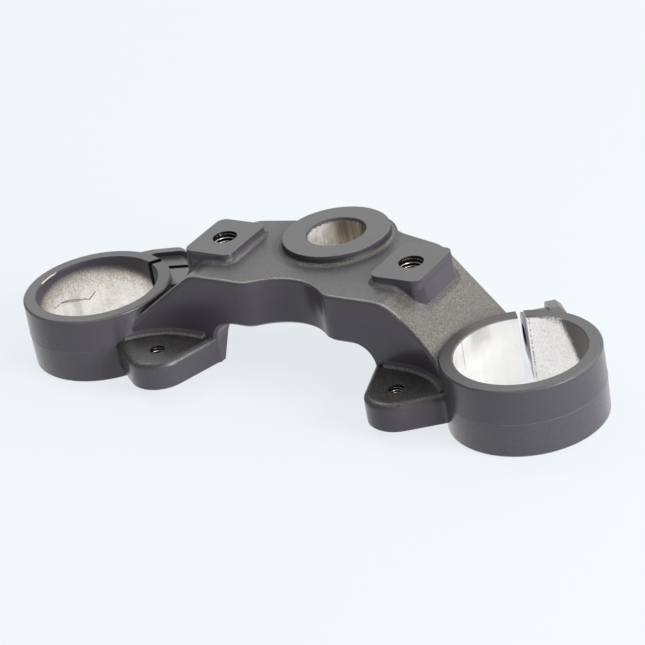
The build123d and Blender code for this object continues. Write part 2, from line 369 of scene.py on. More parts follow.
# On a pad's foot the colour runs from wall next to the pad to skin further out: painted shade.
looks_up = between(tree, pad_foot, ramp(tree, tilt, *WALL_TO_TOP), foot_fade)
up = times(tree, looks_up, rest_of(tree, window(tree, high, *ROOT_TOP)))
foot_on_top = times(tree, pad_foot, ramp(tree, high, bridge_top - FOOT_DROP, bridge_top))
level = most(tree, ramp(tree, tilt, *SLOPE_TO_LEVEL), foot_on_top)
above_ears = ramp(tree, high, *EAR_TO_ARM)
print("finish:", coat_cast.name)

# %% Coat on walls
TURNED_REACH, BOSS_REACH = (clamp_radius + 2.2, clamp_radius + 0.6), (27.0, 25.0)
LEFT_SHEEN, UPPER_SHEEN, LEFT_EAR_SHEEN = 0.75, 0.65, 0.6
HALVES, EAR_SIDE = (parting_z - 1.0, parting_z + 1.0), (ear_top, ear_top - 1.0)
FOOT_ZONE, CLOUDY = (bridge_top + 0.1, bridge_top + 2.4, 0.2), (0.3, 0.7)
clamp = use(tree, fork_place)
turned = ramp(tree, clamp["Reach"], *TURNED_REACH)
by_half = between(tree, ramp(tree, high, *HALVES), 1.0, UPPER_SHEEN)
turned = times(tree, turned, between(tree, clamp["Right"], LEFT_SHEEN, 1.0), by_half)
by_side = between(tree, clamp["Right"], LEFT_EAR_SHEEN, 0.0)
sheen = most(tree, turned, times(tree, ramp(tree, high, *EAR_SIDE), by_side))
# The boss's wall next to its foot is painted near black as shade.
foot_zone = window(tree, high, *FOOT_ZONE)
shaded_boss_foot = times(tree, foot_zone, ramp(tree, from_stem_axis(tree), *BOSS_REACH))
wall = blend(tree, ramp(tree, fine["Cloud"], *CLOUDY), COAT_WALL, COAT_CLOUD)
wall = blend(tree, sheen, wall, TURNED_WALL)
wall = blend(tree, shaded_boss_foot, wall, BOSS_FOOT_SHADE)
print("wall coat:", len(tree.nodes), "nodes so far")

# %% Coat on upper sides
slope_skin = blend(tree, fine["Tone"], SLOPE_DARK, SLOPE_TIPS)
satin = blend(tree, fine["Tone"], SATIN_DARK, SATIN_LIGHT)
# The ears' skin is painted dark as shade, since they lie low.
shaded_ear_skin = blend(tree, coarse["Tone"], EAR_SHADE_DARK, EAR_SHADE_TIPS)
skin = blend(tree, above_ears, shaded_ear_skin, blend(tree, level, slope_skin, satin))
colour = blend(tree, up, wall, skin)
print("coat colour:", len(tree.nodes), "nodes so far")

# %% [markdown]
# ## Painted highlights
# Thin pale lines are painted highlights on the rounded rims, the root of each ear and the feet of
# the boss and pads, and pale specks on the rims are painted glints. Each line is a narrow band of
# tilt or height, broken up by the grain. Lines modelled as strips would stand out too sharply.

# %% Painted highlights
RIM_TILTS, EAR_RIM_SHARE, RIM_SHARE = (0.76, 0.9, 0.06), 0.2, 0.6
ROOT_BAND, ROOT_SHARE = (ear_top + 0.2, ear_top + 0.8, 0.25), 0.36
BOSS_BAND, BOSS_SHARE = (bridge_top + 0.15, bridge_top + 0.7, 0.15), 0.14
PAD_BAND, PAD_SHARE, BOSS_FOOT_TILT = (0.45, 0.7, 0.15), 0.22, (0.3, 0.5)
GLINT_TONE, GLINT_SHARE, BREAK_TONE = (0.55, 0.9), 0.3, (-0.2, 0.8)
highlit = attribute(tree, "highlit")
rim_share = between(tree, above_ears, EAR_RIM_SHARE, RIM_SHARE)
rim_highlight = times(tree, highlit, window(tree, tilt, *RIM_TILTS), rim_share)
glints = times(tree, highlit, ramp(tree, fine["Tone"], *GLINT_TONE), up, GLINT_SHARE)
broken = ramp(tree, fine["Tone"], *BREAK_TONE)
root_highlight = times(tree, window(tree, high, *ROOT_BAND), up, broken, ROOT_SHARE)
boss_foot = times(tree, window(tree, high, *BOSS_BAND), ramp(tree, tilt, *BOSS_FOOT_TILT))
boss_foot_highlight = times(tree, boss_foot, broken, BOSS_SHARE)
pad_foot_highlight = times(tree, foot_on_top, window(tree, foot_fade, *PAD_BAND), broken, PAD_SHARE)
# The pale lines and specks mixed in here are painted highlights on the coat.
painted_highlights = most(tree, rim_highlight, glints, root_highlight, boss_foot_highlight, pad_foot_highlight)
dress(tree, shader, {"Base Color": blend(tree, painted_highlights, colour, HIGHLIGHT_COAT)})
print("polished lines: rims, ear roots, boss foot, pad feet")

# %% [markdown]
# ## Gloss and grain of the coat
# A satin coat shines twice: softly from its own skin, and more where it lies thick and smooth. The
# shader's coat layer carries the second part, strong on tops and turned walls and absent in the
# feet. The grain is a bump that fades on level tops and is coarse on the ears. As real relief it
# would need millions of triangles.


# %% Relief helpers
def rounded_normal(tree, radius):
    """The surface's normal with corners rounded by this many millimetres."""
    return step(tree, "ShaderNodeBevel", {"Radius": radius * MM}, samples=6)["Normal"]


def relief(tree, shader, height, strength, distance, edge=None):
    """Feed the shader's normal with a bump of some millimetres; edge rounds sharp corners."""
    inputs = {"Strength": strength, "Distance": distance * MM, "Height": height}
    if edge:
        inputs["Normal"] = rounded_normal(tree, edge)
    dress(tree, shader, {"Normal": step(tree, "ShaderNodeBump", inputs)["Normal"]})


print("relief helpers ready")

# %% Gloss and grain
WALL_ROUGH, GRAIN_ROUGH, SATIN_ROUGH, FOOT_ROUGH = (0.27, 0.5), (0.48, 0.38), 0.32, 0.55
DRAFT_TILT, WALL_GLOSS, TOP_GLOSS = (0.2, 0.4), (0.45, 0.7), 0.5
SATIN_SMOOTH, EAR_BUMPS, WALL_BUMPS = 0.6, 1.6, 0.2
wall_rough = between(tree, ramp(tree, tilt, *DRAFT_TILT), *WALL_ROUGH)
skin_rough = between(tree, level, between(tree, fine["Tone"], *GRAIN_ROUGH), SATIN_ROUGH)
rough = between(tree, up, wall_rough, skin_rough)
rough = between(tree, most(tree, foot_zone, pad_foot), rough, FOOT_ROUGH)
wall_gloss = times(tree, sheen, between(tree, coarse["Tone"], *WALL_GLOSS))
gloss = between(tree, up, wall_gloss, TOP_GLOSS)
gloss = times(tree, gloss, rest_of(tree, shaded_boss_foot), rest_of(tree, pad_foot))
dress(tree, shader, {"Roughness": rough, "Coat Weight": gloss})
dress(tree, shader, {"Coat Roughness": 0.34, "Specular IOR Level": 0.42})
bumps = between(tree, above_ears, times(tree, coarse["Height"], EAR_BUMPS), fine["Height"])
bumps = times(tree, bumps, rest_of(tree, times(tree, level, above_ears, SATIN_SMOOTH)))
bumps = between(tree, up, times(tree, coarse["Height"], WALL_BUMPS), bumps)
relief(tree, shader, bumps, strength=0.7, distance=0.18, edge=0.5)
print("coat on cast skin:", len(tree.nodes), "nodes")

# %% [markdown]
# ## Coat on machined faces
# The clamp tops, the pads and the stem boss were milled flat before coating, so they are smooth and
# catch the light as even satin. Their corners are sharp and the coat is thin there. Wear could be
# painted edge by edge, but a bevel lookup finds all corners, and noise breaks the wear into short
# lengths. The left side of the right clamp's top has a thicker, duller coat.

# %% Coat on machined faces
MILLED_DARK = (0.048, 0.047, 0.049, 1)
MILLED_LIGHT = (0.067, 0.065, 0.066, 1)
MILLED_THICK = (0.020, 0.020, 0.020, 1)
MILLED_GRAIN, MILLED_ROUGH = 2.6, (0.27, 0.36)
THICK_RISE, THICK_FALL, THICK_SHARE = (fork_x - 38, fork_x - 30), (fork_x + 14, fork_x - 22), 0.9
coat_milled, tree, shader = finish("coat_on_machined_faces")
place = millimetres(tree)
sideways = axes(tree, place)["X"]
grain = use(tree, cast_grain, Grain=MILLED_GRAIN, Pits=0.0)
thick = times(tree, ramp(tree, sideways, *THICK_RISE), ramp(tree, sideways, *THICK_FALL), THICK_SHARE)
colour = blend(tree, grain["Tone"], MILLED_DARK, MILLED_LIGHT)
colour = blend(tree, thick, colour, MILLED_THICK)
rough = between(tree, grain["Cloud"], *MILLED_ROUGH)
dress(tree, shader, {"Roughness": rough, "Specular IOR Level": 0.8})
relief(tree, shader, grain["Height"], strength=0.15, distance=0.04, edge=0.3)
print("thick coat from x =", THICK_RISE[0], "to", THICK_FALL[0], "mm")

# %% Worn corners
CORNER_WEAR = (0.33, 0.28, 0.23, 1)
CORNER_RADIUS, CORNER_TURN = 0.35, (0.985, 0.93)
PATCHES, PATCH_EDGE, WEAR_SHARE = 0.10, (0.46, 0.6), 0.75
facing_both = {0: surface_normal(tree), 1: rounded_normal(tree, CORNER_RADIUS)}
corner_line = ramp(tree, vector_calc(tree, "DOT_PRODUCT", facing_both)["Value"], *CORNER_TURN)
patches = ramp(tree, noise(tree, place, scale=PATCHES), *PATCH_EDGE)
worn = times(tree, corner_line, patches, WEAR_SHARE)
dress(tree, shader, {"Base Color": blend(tree, worn, colour, CORNER_WEAR)})
print("finish:", coat_milled.name)

# %% [markdown]
# ## Overspray in the clamp bores
# The clamp bores are machined after the first coat, so they shine, but later spraying drifted in
# from the top. Its edge is soft and ragged and its depth differs round the bore. A painted picture
# would need an unwrapped bore, so it is a mask instead, made from the depth below the rim, the side
# of the bore and some noise. A glint of bare metal shows on the left bore's outer rim.

# %% Overspray in the fork bores
LEFT_DEPTH, LEFT_SWING, LEFT_OUTER, LEFT_BACK = 10.8, 6.0, -0.839, -0.545
RIGHT_DEPTH, RIGHT_FALL, RIGHT_START = 0.7, 54.0, 0.156
FURRY_SIDE, FRINGE = (-0.3, 0.25), 5.0
# SHARES, SOFTNESS, FEW and MANY give the left bore's value, then the right bore's.
FRINGE_SHARES, SOFTNESS, LEAST_SOFT = (1.0, 3.4), (2.0, 3.4), 0.4
bore_metal, tree, shader = finish("bored_fork_clamp")
spot, place = use(tree, fork_place), millimetres(tree)
outer, below, on_right = spot["Outer"], spot["Below"], spot["Right"]
on_left = rest_of(tree, on_right)
left_way = calc(tree, "MULTIPLY_ADD", outer, LEFT_OUTER, times(tree, spot["Back"], LEFT_BACK))
left_depth = calc(tree, "MULTIPLY_ADD", left_way, LEFT_SWING, LEFT_DEPTH)
past_start = most(tree, calc(tree, "SUBTRACT", outer, RIGHT_START), 0.0)
right_depth = calc(tree, "MULTIPLY_ADD", past_start, RIGHT_FALL, RIGHT_DEPTH)
depth = between(tree, on_right, left_depth, right_depth)
furry = most(tree, on_left, ramp(tree, outer, *FURRY_SIDE))
fringe = noise(tree, place, scale=1.4, detail=5.0, roughness=0.78)
fringe = calc(tree, "MULTIPLY_ADD", fringe, FRINGE, -FRINGE / 2)
wild = times(tree, furry, between(tree, on_right, *FRINGE_SHARES))
under = calc(tree, "SUBTRACT", calc(tree, "MULTIPLY_ADD", fringe, wild, depth), below)
soft = calc(tree, "MULTIPLY_ADD", furry, between(tree, on_right, *SOFTNESS), LEAST_SOFT)
spray = ramp(tree, under, times(tree, soft, -1.0), soft)
print("overspray in the left bore, mm deep:", LEFT_DEPTH - LEFT_SWING, "to", LEFT_DEPTH + LEFT_SWING)

# %% Rim glint
GLINT_SIDE, GLINT_DEPTH = (0.975, 0.987), (0.36, 0.22)
glint = times(tree, on_left, ramp(tree, outer, *GLINT_SIDE), ramp(tree, below, *GLINT_DEPTH))
spray = times(tree, spray, rest_of(tree, glint))
print("overspray mask:", len(tree.nodes), "nodes")

# %% [markdown]
# ## Bored clamps
# Bare bored metal shows the tool's upright bands. The left bore is stained and mottled, with one grey
# band of painted shade. The right bore is clean on its inner side, but for a smear and a scored line,
# and speckled beyond its slot, where a dashed line runs beside the cut. All of it could be painted on
# an unwrapped bore. Here, marks that have one place are windows of bearing and depth, and the rest is
# noise.

# %% Bored metal
BRIGHT_METAL = (0.97, 0.965, 0.955, 1)
WARM_METAL = (0.90, 0.87, 0.83, 1)
DULL_METAL = (0.72, 0.69, 0.65, 1)
TOOL_MARK_AND_SHADE = (0.52, 0.50, 0.48, 1)
DULL_MOTTLE, DULL_SHARES = (0.35, 0.7), (1.0, 0.2)
BAND_EDGE, BAND_SHARES, UPRIGHT = (0.50, 0.70), (0.28, 0.06), (1.0, 1.0, 0.05)
mottle = noise(tree, place, scale=0.16, detail=4.0)
bands = noise(tree, place, scale=0.35, detail=2.0, roughness=0.5, stretch=UPRIGHT)
dull = times(tree, ramp(tree, mottle, *DULL_MOTTLE), between(tree, on_right, *DULL_SHARES))
metal = blend(tree, dull, blend(tree, on_right, WARM_METAL, BRIGHT_METAL), DULL_METAL)
tool_bands = times(tree, ramp(tree, bands, *BAND_EDGE), between(tree, on_right, *BAND_SHARES))
metal = blend(tree, tool_bands, metal, TOOL_MARK_AND_SHADE)
print("bored metal:", len(tree.nodes), "nodes so far")

# %% Specks
STAIN = (0.34, 0.29, 0.23, 1)
FEW, MANY, SPECK_SHARES = (0.53, 0.46), (0.66, 0.60), (0.68, 0.33)
CLEAN_SIDE, DRIFT, DRIFT_GRIT = (-0.36, -0.44), (-11, 1), 0.16
clean = times(tree, on_right, ramp(tree, outer, *CLEAN_SIDE))
near_spray = times(tree, ramp(tree, under, *DRIFT), on_left)
grit = noise(tree, place, scale=1.6, detail=4.0, roughness=0.8)
grit = calc(tree, "MULTIPLY_ADD", near_spray, DRIFT_GRIT, grit)
speck = ramp(tree, grit, between(tree, on_right, *FEW), between(tree, on_right, *MANY))
speck = times(tree, speck, rest_of(tree, clean), between(tree, on_right, *SPECK_SHARES))
metal = blend(tree, speck, metal, STAIN)
print("with specks:", len(tree.nodes), "nodes")

# %% Marks with a place
SCORE_SIDE, SCORE_BACK, SCORE_DEPTH, SCORE_SHARE = (-0.9, -0.95), (-0.004, 0.008, 0.012), (15, 10), 0.6
DASH_SIDE, DASH_GAPS, DASH_SHARE = (-0.356, -0.346, 0.012), (0.44, 0.54), 0.8
SMEAR_SIDE, SMEAR_DEPTH, SMEAR_MOTTLE, SMEAR_SHARE = (-0.95, -0.86, 0.06), (13, 3), (0.3, 0.6), 0.35
SHADE_SIDE, SHADE_BACK, SHADE_DEPTH, SHADE_SHARE = (0.3, 0.6), (0.40, 0.47, 0.05), (9, 15), 0.6
scored = times(tree, on_right, ramp(tree, outer, *SCORE_SIDE), window(tree, spot["Back"], *SCORE_BACK))
scored = times(tree, scored, ramp(tree, below, *SCORE_DEPTH), SCORE_SHARE)
dashes = ramp(tree, noise(tree, place, scale=0.7, roughness=0.7), *DASH_GAPS)
dashed = times(tree, on_right, window(tree, outer, *DASH_SIDE), dashes, DASH_SHARE)
smear = times(tree, window(tree, outer, *SMEAR_SIDE), ramp(tree, below, *SMEAR_DEPTH), on_right)
smear = times(tree, smear, ramp(tree, mottle, *SMEAR_MOTTLE), SMEAR_SHARE)
metal = blend(tree, most(tree, scored, dashed, smear), metal, STAIN)
# The grey band on the left bore is painted shade.
shade = times(tree, on_left, window(tree, spot["Back"], *SHADE_BACK), ramp(tree, outer, *SHADE_SIDE))
shade = times(tree, shade, ramp(tree, below, *SHADE_DEPTH), SHADE_SHARE)
metal = blend(tree, shade, metal, TOOL_MARK_AND_SHADE)
print("marks: scored line, dashed line, smear, grey band")

# %% Fork bore finish
RIGHT_SPRAY = (0.085, 0.074, 0.068, 1)
BARE_SHARES, BORE_ROUGH, SPRAY_ROUGH = (1.0, 0.8), (0.36, 0.24), 0.45
coat = blend(tree, on_right, COAT_WALL, RIGHT_SPRAY)
bare = times(tree, rest_of(tree, spray), between(tree, on_right, *BARE_SHARES))
rough = between(tree, spray, between(tree, mottle, *BORE_ROUGH), SPRAY_ROUGH)
colour = blend(tree, spray, metal, coat)
dress(tree, shader, {"Base Color": colour, "Metallic": bare, "Roughness": rough})
relief(tree, shader, calc(tree, "ADD", bands, spray), strength=0.2, distance=0.06, edge=0.25)
print("finish:", bore_metal.name, "with", len(tree.nodes), "nodes")

# %% [markdown]
# ## Stem bore
# The stem bore was reamed. One broad bright band on it is a painted reflection, and the rest is brassy
# brown with soft upright streaks. The band comes from the bearing round the axis. Stretching a noise
# along the axis draws the streaks without any picture.

# %% Stem bore metal
STEM_BRIGHT = (0.97, 0.94, 0.88, 1)
STEM_BROWN = (0.33, 0.28, 0.22, 1)
STREAK_DARK = (0.13, 0.105, 0.08, 1)
BRIGHT_BEARING, BRIGHT_EDGE = math.radians(168), (0.58 * stem_radius, 0.97 * stem_radius)
stem_metal, tree, shader = finish("bored_stem_seat")
place = millimetres(tree)
bright_way = (math.cos(BRIGHT_BEARING), math.sin(BRIGHT_BEARING), 0)
toward = vector_calc(tree, "DOT_PRODUCT", {0: place, 1: bright_way})["Value"]
streak = noise(tree, place, scale=0.6, stretch=UPRIGHT)
stain = noise(tree, place, scale=0.22, detail=4.0)
# The bright band is a painted reflection on the bore.
painted_reflection_band = ramp(tree, toward, *BRIGHT_EDGE)
metal = blend(tree, painted_reflection_band, STEM_BROWN, STEM_BRIGHT)
for pattern, edge, share, tint in (
    (streak, (0.50, 0.66), 0.3, STEM_BRIGHT),
    (streak, (0.48, 0.32), 0.4, STREAK_DARK),
    (stain, (0.48, 0.64), 0.3, STREAK_DARK),
):
    metal = blend(tree, times(tree, ramp(tree, pattern, *edge), share), metal, tint)
print("stem bore metal:", len(tree.nodes), "nodes so far")

# %% Stem bore finish
MOUTH_REACH, MOUTH_FRINGE, MOUTH_EDGE = 2.6, 2.4, (-0.5, 0.6)
BAND_BARE, STREAK_ROUGH = 0.7, (0.40, 0.28)
fringe = noise(tree, place, scale=1.0, roughness=0.7)
drift = calc(tree, "MULTIPLY_ADD", fringe, MOUTH_FRINGE, boss_top - MOUTH_REACH)
spray = ramp(tree, calc(tree, "SUBTRACT", height_mm(tree), drift), *MOUTH_EDGE)
bare = times(tree, rest_of(tree, spray), between(tree, painted_reflection_band, 1.0, BAND_BARE))
rough = between(tree, streak, *STREAK_ROUGH)
colour = blend(tree, spray, metal, COAT_WALL)
dress(tree, shader, {"Base Color": colour, "Metallic": bare, "Roughness": rough})
relief(tree, shader, streak, strength=0.25, distance=0.05, edge=0.25)
print("finish:", stem_metal.name)

# %% [markdown]
# ## Cut threads
# A tap cut the threads. Their crests are painted bright as highlights and their roots dark as shade. A
# picture of stripes could not follow the spiral, so the thread's own shape carries a "crest" value
# from root to tip, which the finish turns from dark to bright.

# %% Cut thread finish
THREAD_CREST_HIGHLIGHT = (0.64, 0.62, 0.58, 1)
THREAD_ROOT_SHADE = (0.050, 0.045, 0.040, 1)
CREST_EDGE, SWARF_EDGE, THREAD_ROUGH = (0.62, 0.95), (0.28, 0.5), (0.33, 0.46)
thread_metal, tree, shader = finish("cut_thread_metal")
swarf = noise(tree, millimetres(tree), scale=0.7)
crest = ramp(tree, attribute(tree, "crest"), *CREST_EDGE)
# Bright crests are painted highlights, and the dark roots are painted shade.
crest_highlight = times(tree, crest, ramp(tree, swarf, *SWARF_EDGE))
colour, rough = blend(tree, crest_highlight, THREAD_ROOT_SHADE, THREAD_CREST_HIGHLIGHT), between(tree, swarf, *THREAD_ROUGH)
dress(tree, shader, {"Base Color": colour, "Metallic": 1.0, "Roughness": rough})
print("finish:", thread_metal.name)

# %% [markdown]
# ## Sawn slots
# The pinch slots were sawn after the first coat. The left slot is painted near black as shade. A thin
# mist settled in the right one: a pale mauve-grey metal with faint saw lines along the cut. The lines
# are too fine to model, so a noise stretched along the cut draws them.

# %% Sawn slot finish
SAWN = (0.66, 0.62, 0.68, 1)
SAWN_MIST = (0.48, 0.45, 0.50, 1)
SLOT_SHADE = (0.010, 0.009, 0.010, 1)
ALONG_CUT, MIST_EDGE, SAWN_BARE = (0.2, 0.2, 2.0), (0.4, 0.62), 0.3
sawn_metal, tree, shader = finish("sawn_slot")
saw_lines = noise(tree, millimetres(tree), scale=0.8, stretch=ALONG_CUT)
on_right = use(tree, fork_place)["Right"]
pale = blend(tree, ramp(tree, saw_lines, *MIST_EDGE), SAWN, SAWN_MIST)
# The left slot's near-black colour is painted shade.
colour, bare = blend(tree, on_right, SLOT_SHADE, pale), times(tree, on_right, SAWN_BARE)
dress(tree, shader, {"Base Color": colour, "Metallic": bare, "Roughness": 0.42})
relief(tree, shader, saw_lines, strength=0.2, distance=0.04)
print("finish:", sawn_metal.name)

# %% [markdown]
# ## The casting
# The yoke is one casting, so it stays one mesh. It could be modelled again here, but the CAD shape is
# exact, so its node is shown through a merged copy: the loose triangles are joined at their corners
# and keep the true normals of the CAD faces. Each triangle lies on one CAD face, so the place of its
# centre says which finish it has.

# %% Merged copy
JOIN_DIGITS = 7


def merged_copy(node, name):
    """A copy of a CAD node with its corners joined and its own normals kept."""
    source = node.data
    points = np.empty(len(source.vertices) * 3, np.float32)
    source.vertices.foreach_get("co", points)
    corners = np.empty(len(source.loops), np.int32)
    source.loops.foreach_get("vertex_index", corners)
    normals = np.empty(len(source.loops) * 3, np.float32)
    source.corner_normals.foreach_get("vector", normals)
    rounded = np.round(points.reshape(-1, 3), JOIN_DIGITS)
    shared, index = np.unique(rounded, axis=0, return_inverse=True)
    faces = index.ravel()[corners].reshape(-1, 3)
    whole = (faces[:, 0] != faces[:, 1]) & (faces[:, 1] != faces[:, 2]) & (faces[:, 2] != faces[:, 0])
    faces, normals = faces[whole], normals.reshape(-1, 3, 3)[whole]
    mesh = bpy.data.meshes.new(name)
    mesh.from_pydata(shared.tolist(), [], faces.tolist())
    mesh.shade_smooth()
    mesh.normals_split_custom_set(normals.reshape(-1, 3).tolist())
    return linked(name, mesh), shared[faces] / MM, normals


casting, corner, facing = merged_copy(frame["nodes"]["triple_clamp"], "casting")
centre, normal = corner.mean(1), facing.mean(1)
x, y, z = centre.T
print("casting triangles:", len(centre))

# %% Where each triangle lies
NEAR = 0.02
LEVEL_NORMAL, UPRIGHT_NORMAL = 0.99, 0.1
CORNER_WIDTH, CORNER_DROP = 0.65, 0.6
from_fork = np.hypot(np.abs(x) - fork_x, y - fork_y)
from_stem = np.hypot(x, y)
from_pad = np.hypot(np.abs(x) - pad_x, y - pad_y)
from_ear = np.hypot(np.abs(x) - ear_x, y - ear_y)
milled = (np.abs(z - boss_top) < NEAR) | (np.abs(z - clamp_top) < NEAR)
milled &= normal[:, 2] > LEVEL_NORMAL
clamp_corner = (from_fork > clamp_radius - CORNER_WIDTH) & (from_fork < clamp_radius)
milled |= clamp_corner & (z > clamp_top - CORNER_DROP)
in_fork = from_fork < fork_radius + NEAR
in_fork |= (from_fork < fork_radius + mouth_chamfer) & (z > clamp_top - mouth_chamfer) & ~milled
in_stem = from_stem < stem_radius + NEAR
in_stem |= (from_stem < stem_radius + mouth_chamfer) & (z > boss_top - mouth_chamfer) & ~milled
in_thread = (from_pad < pad_hole_radius + NEAR) | (from_ear < ear_hole_radius + NEAR)
from_slot = np.stack([np.abs(x) - slot_start.x, y - slot_start.y], 1)
across_slot = np.abs(from_slot @ np.array(slot_side.xy))
in_slot = np.abs(across_slot - slot_half) < NEAR
in_slot &= (from_slot @ np.array(slot_way.xy) > 0) & (np.abs(normal[:, 2]) < UPRIGHT_NORMAL)
print("triangles on milled faces:", int(milled.sum()), "and in the slots:", int(in_slot.sum()))

# %% Finishes by place
finishes = [coat_cast, coat_milled, bore_metal, stem_metal, thread_metal, sawn_metal]
places = [in_thread, in_stem, in_fork, milled, in_slot]
owners = [thread_metal, stem_metal, bore_metal, coat_milled, sawn_metal]
chosen = np.select(places, [finishes.index(m) for m in owners], 0).astype(np.int32)
for material in finishes:
    casting.data.materials.append(material)
casting.data.polygons.foreach_set("material_index", chosen)
print("triangles by finish:", {m.name: int((chosen == i).sum()) for i, m in enumerate(finishes)})

# %% [markdown]
# ## Highlit edges and pad feet
# The painted highlights follow the rounded outer edges, and each pad's sloped foot is painted darker
# next to the pad as shade. A material cannot find them by itself, and painting them by hand would be
# slow, so the mesh carries three values: one from how fast an edge curves, which places the
# highlights, "pad_foot" for the sloped band, and "foot_fade", which rises from the pad's side outward
# and turns the foot from wall to skin.

# %% Highlit edges
BEND_START, BEND_SPAN, SHORTEST = 0.2, 0.4, 1e-6


def store(name, domain, values):
    """Keep one number for every face or point of the casting."""
    layer = casting.data.attributes.new(name, "FLOAT", domain)
    layer.data.foreach_set("value", values.astype(np.float32))


bend = np.zeros(len(corner))
for a, b in ((0, 1), (1, 2), (2, 0)):
    stride, swing = corner[:, b] - corner[:, a], facing[:, b] - facing[:, a]
    length = np.maximum((stride * stride).sum(1), SHORTEST)
    bend = np.maximum(bend, (stride * swing).sum(1) / length)
highlit_edges = np.clip((bend - BEND_START) / BEND_SPAN, 0, 1)
store("highlit", "FACE", highlit_edges)
print("rubbed triangles:", int((highlit_edges > 0.5).sum()))

# %% Pad feet
FOOT_REACH, FOOT_WIDTH = 4.0, 2.0
FOOT_STEEP, FOOT_FLAT = 0.2, 0.75


def beside_pads(across, along):
    """Distance outside the nearer pad's sides, in millimetres; below 0 on the pad itself."""
    across = np.abs(np.abs(across) - pad_x) - pad_width / 2
    return np.maximum(across, np.abs(along - pad_y) - pad_length / 2)


beside = beside_pads(x, y)
sloped = (normal[:, 2] > FOOT_STEEP) & (normal[:, 2] < FOOT_FLAT)
feet = (beside > 0) & (beside < FOOT_REACH) & sloped
store("pad_foot", "FACE", feet)
spots = np.empty(len(casting.data.vertices) * 3, np.float32)
casting.data.vertices.foreach_get("co", spots)
spot_x, spot_y, _ = spots.reshape(-1, 3).T / MM
# foot_fade sets where the painted shade in a pad's foot gives way to skin.
store("foot_fade", "POINT", np.clip(beside_pads(spot_x, spot_y) / FOOT_WIDTH, 0, 1))
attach(casting, "root")
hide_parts("triple_clamp")
print("foot triangles:", int(feet.sum()))

# %% [markdown]
# ## Threads
# The pads take M10 riser bolts, the ears M6 screws and the lugs M8 pinch bolts. A cut thread is one
# ridge that winds up the hole, so a spiral curve carries a small trapezium along it. Modelling turns
# as separate rings would be simpler, but rings show no run-out and look wrong from close up. One
# geometry tree serves all six holes: it places the swept ridge on a point with an axis.


# %% Geometry helpers
def tree_with(name, inputs):
    """A geometry tree with a mesh input, named number inputs and a mesh output."""
    tree = bpy.data.node_groups.new(name, "GeometryNodeTree")
    for end in ("INPUT", "OUTPUT"):
        tree.interface.new_socket("Geometry", in_out=end, socket_type="NodeSocketGeometry")
    return open_tree(tree, inputs)


def sweep(tree, curve, profile, scale):
    """A closed solid swept along a curve."""
    inputs = {"Curve": curve, "Profile Curve": profile, "Fill Caps": True, "Scale": scale}
    return step(tree, "GeometryNodeCurveToMesh", inputs)["Mesh"]


def taper(tree, ends):
    """1 along a curve, falling to 0 over this share of it at both ends."""
    factor = add(tree, "GeometryNodeSplineParameter").outputs["Factor"]
    nearest = calc(tree, "MINIMUM", factor, rest_of(tree, factor))
    return calc(tree, "DIVIDE", nearest, ends, clamp=True)


def carried(tree, name, kind):
    """A value that the points of the mesh carry."""
    return step(tree, "GeometryNodeInputNamedAttribute", {"Name": name}, data_type=kind)["Attribute"]


def close_tree(tree, mesh, material, result):
    """End a tree: make the instances real and give them the finish."""
    real = step(tree, "GeometryNodeRealizeInstances", {"Geometry": mesh})["Geometry"]
    dressing = {"Geometry": real, "Material": material}
    dress(tree, result, {"Geometry": step(tree, "GeometryNodeSetMaterial", dressing)["Geometry"]})


print("geometry helpers ready")

# %% Thread tree
ROOT_SINK, ROOT_HALF, CREST_HALF = 0.05 * MM, 0.44, 0.07
TURN_STEPS, RUN_OUT, MIDDLE_CORNER = 48, 0.06, 1.5
thread_tree, given, result = tree_with(
    "tapped_thread", {"Radius": 0.005, "Ridge": 0.0008, "Pitch": 0.0015, "Length": 0.02}
)
tree = thread_tree
turns = calc(tree, "DIVIDE", given["Length"], given["Pitch"])
spiral = {"Resolution": TURN_STEPS, "Reverse": True, "Rotations": turns, "Height": given["Length"]}
spiral |= {"Start Radius": given["Radius"], "End Radius": given["Radius"]}
helix = step(tree, "GeometryNodeCurveSpiral", spiral)["Curve"]
helix = step(tree, "GeometryNodeSetCurveNormal", {"Curve": helix}, mode="Z_UP")["Curve"]
tip = times(tree, given["Ridge"], -1.0)
outline = ((ROOT_SINK, ROOT_HALF), (tip, CREST_HALF), (tip, -CREST_HALF), (ROOT_SINK, -ROOT_HALF))
corners = {}
for number, (inward, share) in enumerate(outline, 1):
    at = {"X": inward, "Y": times(tree, given["Pitch"], share)}
    corners[f"Point {number}"] = step(tree, "ShaderNodeCombineXYZ", at)["Vector"]
trapezium = step(tree, "GeometryNodeCurvePrimitiveQuadrilateral", corners, mode="POINTS")
corner_number = add(tree, "GeometryNodeInputIndex").outputs["Index"]
off_crest = calc(tree, "SUBTRACT", corner_number, MIDDLE_CORNER)
on_crest = calc(tree, "LESS_THAN", calc(tree, "ABSOLUTE", off_crest), 1.0)
mark = {"Geometry": trapezium["Curve"], "Name": "crest", "Value": on_crest}
flank = step(tree, "GeometryNodeStoreNamedAttribute", mark)["Geometry"]
ridge = sweep(tree, helix, flank, taper(tree, RUN_OUT))
way = {"Vector": carried(tree, "axis", "FLOAT_VECTOR")}
lean = step(tree, "FunctionNodeAlignRotationToVector", way, axis="Z")["Rotation"]
holes = {"Points": given["Geometry"], "Instance": ridge, "Rotation": lean}
holes = step(tree, "GeometryNodeInstanceOnPoints", holes)["Instances"]
close_tree(tree, holes, thread_metal, result)
print("thread tree:", len(thread_tree.nodes), "nodes")


